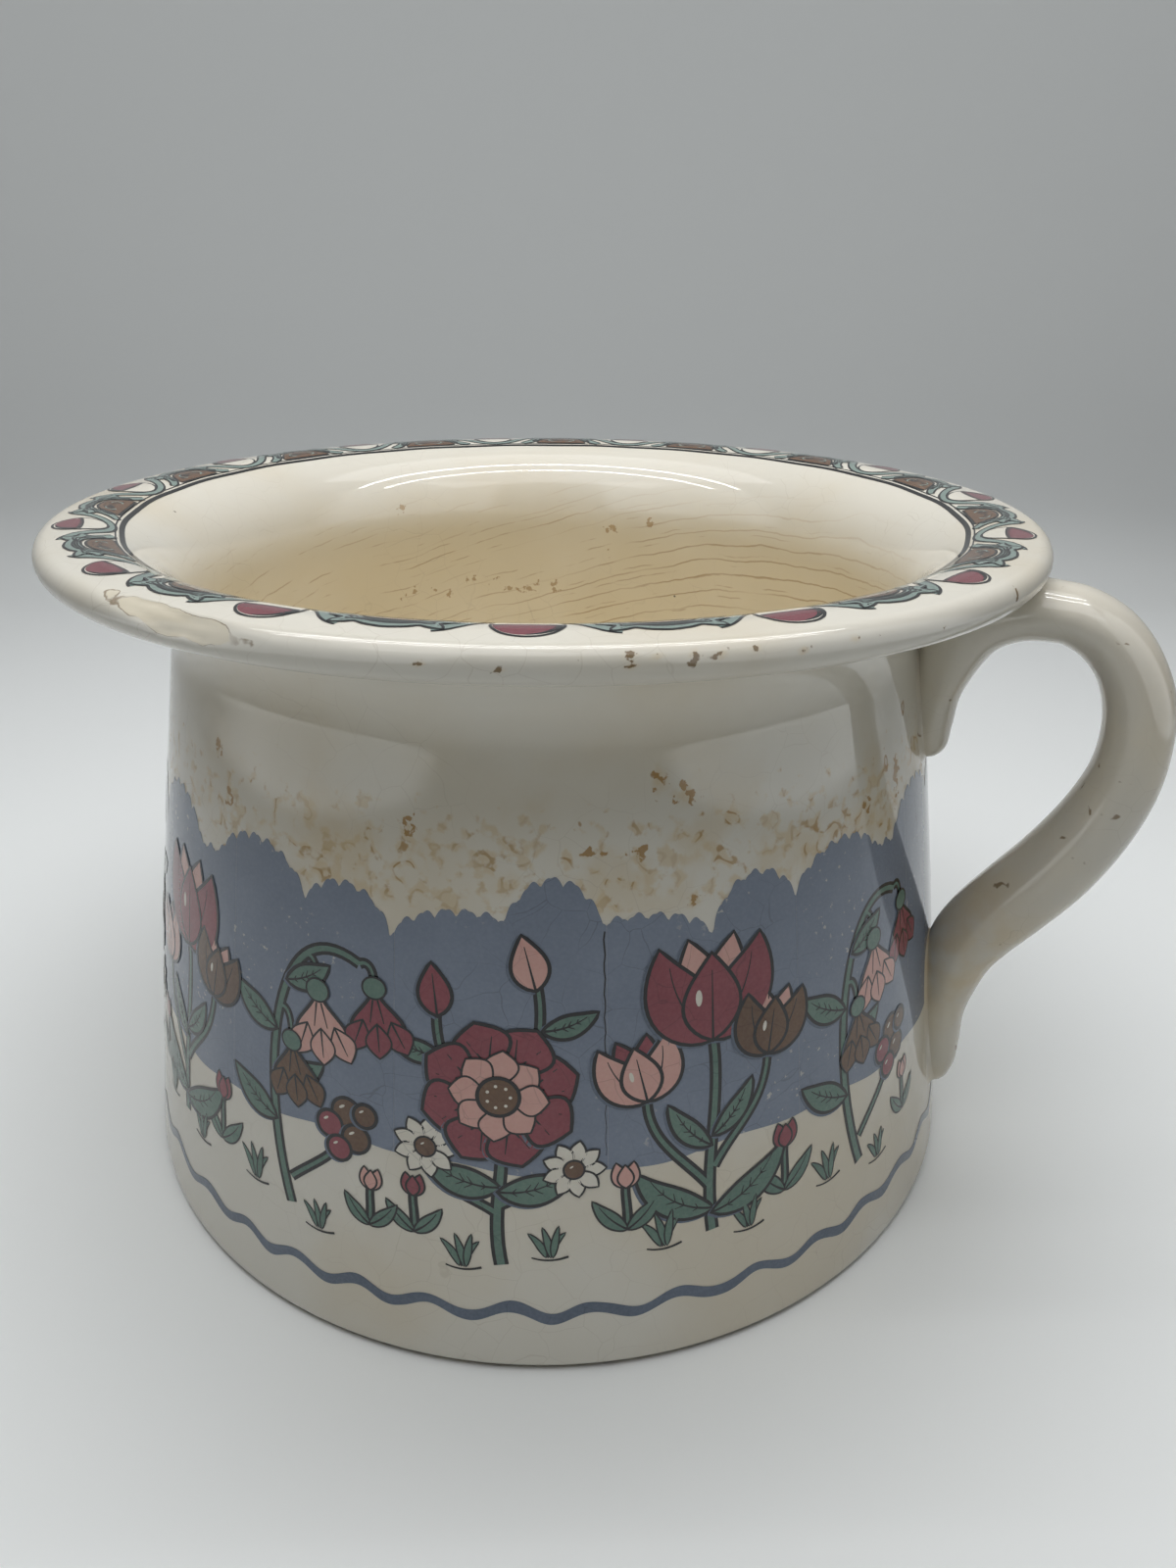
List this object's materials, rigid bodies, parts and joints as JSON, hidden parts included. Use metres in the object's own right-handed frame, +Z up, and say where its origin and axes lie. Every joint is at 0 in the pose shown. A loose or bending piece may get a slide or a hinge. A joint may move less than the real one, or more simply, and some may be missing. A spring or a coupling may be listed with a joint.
{
  "type": "chamber pot",
  "caption": "Glazed earthenware chamber pot: tapering wall on a wide foot, flared flat rim, ear-shaped side handle, printed border, frieze and wavy line.",
  "frame": {"origin": "on the pot's axis, at the plane that the foot stands on", "axes": "+Z up along the pot's axis, +X from the axis toward the handle"},
  "size_m": [0.239, 0.211, 0.1493],
  "materials": {
    "body_glaze": "glossy, crazed and stained",
    "handle_glaze": "glossy",
    "slip": "glossy",
    "border_print": "printed under a glossy glaze",
    "wave_print": "painted under a glossy glaze",
    "frieze_print": "printed under a glossy glaze"
  },
  "bodies": {
    "root": {"pot_body": "body_glaze", "handle": "handle_glaze", "upper_luting": "slip", "lower_luting": "slip", "rim_border": "border_print", "foot_wave": "wave_print", "frieze_strip_1": "frieze_print", "frieze_strip_2": "frieze_print", "frieze_strip_3": "frieze_print", "frieze_strip_4": "frieze_print", "frieze_strip_5": "frieze_print", "frieze_strip_6": "frieze_print", "frieze_strip_7": "frieze_print", "frieze_strip_8": "frieze_print", "frieze_strip_9": "frieze_print", "frieze_strip_10": "frieze_print", "frieze_strip_11": "frieze_print", "frieze_strip_12": "frieze_print", "frieze_strip_13": "frieze_print", "frieze_strip_14": "frieze_print", "frieze_strip_15": "frieze_print"}
  },
  "joints": []
}
